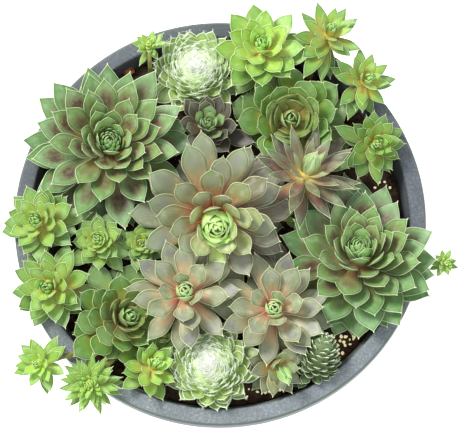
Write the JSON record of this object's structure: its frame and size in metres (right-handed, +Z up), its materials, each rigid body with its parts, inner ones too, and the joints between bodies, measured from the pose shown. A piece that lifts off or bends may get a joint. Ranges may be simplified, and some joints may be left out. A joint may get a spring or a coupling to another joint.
{
  "type": "hens and chicks",
  "caption": "Round grey bowl of soil planted with a crowd of houseleek rosettes: large mother rosettes, cobwebbed domes and small offsets on stems and runners.",
  "frame": {"origin": "centre of the flat underside of the pot, on the surface that it stands on", "axes": "+Z up along the pot's axis, +X to the right and +Y to the back as the planting is usually looked at"},
  "size_m": [0.2763, 0.2599, 0.1504],
  "materials": {
    "pot": "fine-grained grey, dull, with fine speckle and turning marks",
    "soil": "damp dark potting soil, granular",
    "grey_olive_leaf": "waxy, soft sheen",
    "blotched_leaf": "waxy, soft sheen, brown-purple blotches",
    "taupe_leaf": "waxy, soft sheen",
    "bronze_leaf": "waxy, soft sheen",
    "dark_green_leaf": "waxy, soft sheen",
    "cobweb_leaf": "waxy, webbed with white hairs",
    "lime_leaf": "waxy, soft sheen",
    "green_offset_leaf": "waxy, soft sheen",
    "grey_green_scale": "finely hairy, matt",
    "purple_leaf": "waxy, soft sheen"
  },
  "bodies": {
    "root": {"pot": "pot", "soil": "soil", "star_front_left": "grey_olive_leaf", "star_front_middle": "grey_olive_leaf", "blotched_left": "blotched_leaf", "blotched_right": "blotched_leaf", "taupe_middle": "taupe_leaf", "bronze_back_right": "bronze_leaf", "green_cup": "dark_green_leaf", "dark_front_left": "dark_green_leaf", "cobweb_back": "cobweb_leaf", "cobweb_front": "cobweb_leaf", "lime_back": "lime_leaf", "offset_back_right": "green_offset_leaf", "offset_right_rim": "green_offset_leaf", "offset_right": "green_offset_leaf", "offset_lime_left": "lime_leaf", "offset_lime_left_front": "lime_leaf", "offset_olive_left": "green_offset_leaf", "offset_small_left": "green_offset_leaf", "offset_outside_left": "lime_leaf", "offset_spiky_front_left": "lime_leaf", "offset_lime_front": "lime_leaf", "small_grey_front": "grey_olive_leaf", "globe_front_right": "grey_green_scale", "offset_stalked_back": "lime_leaf", "purple_back": "purple_leaf", "offset_outside_right": "lime_leaf", "offset_hidden_front_left": "green_offset_leaf", "offset_tiny_middle": "green_offset_leaf"}
  },
  "joints": []
}
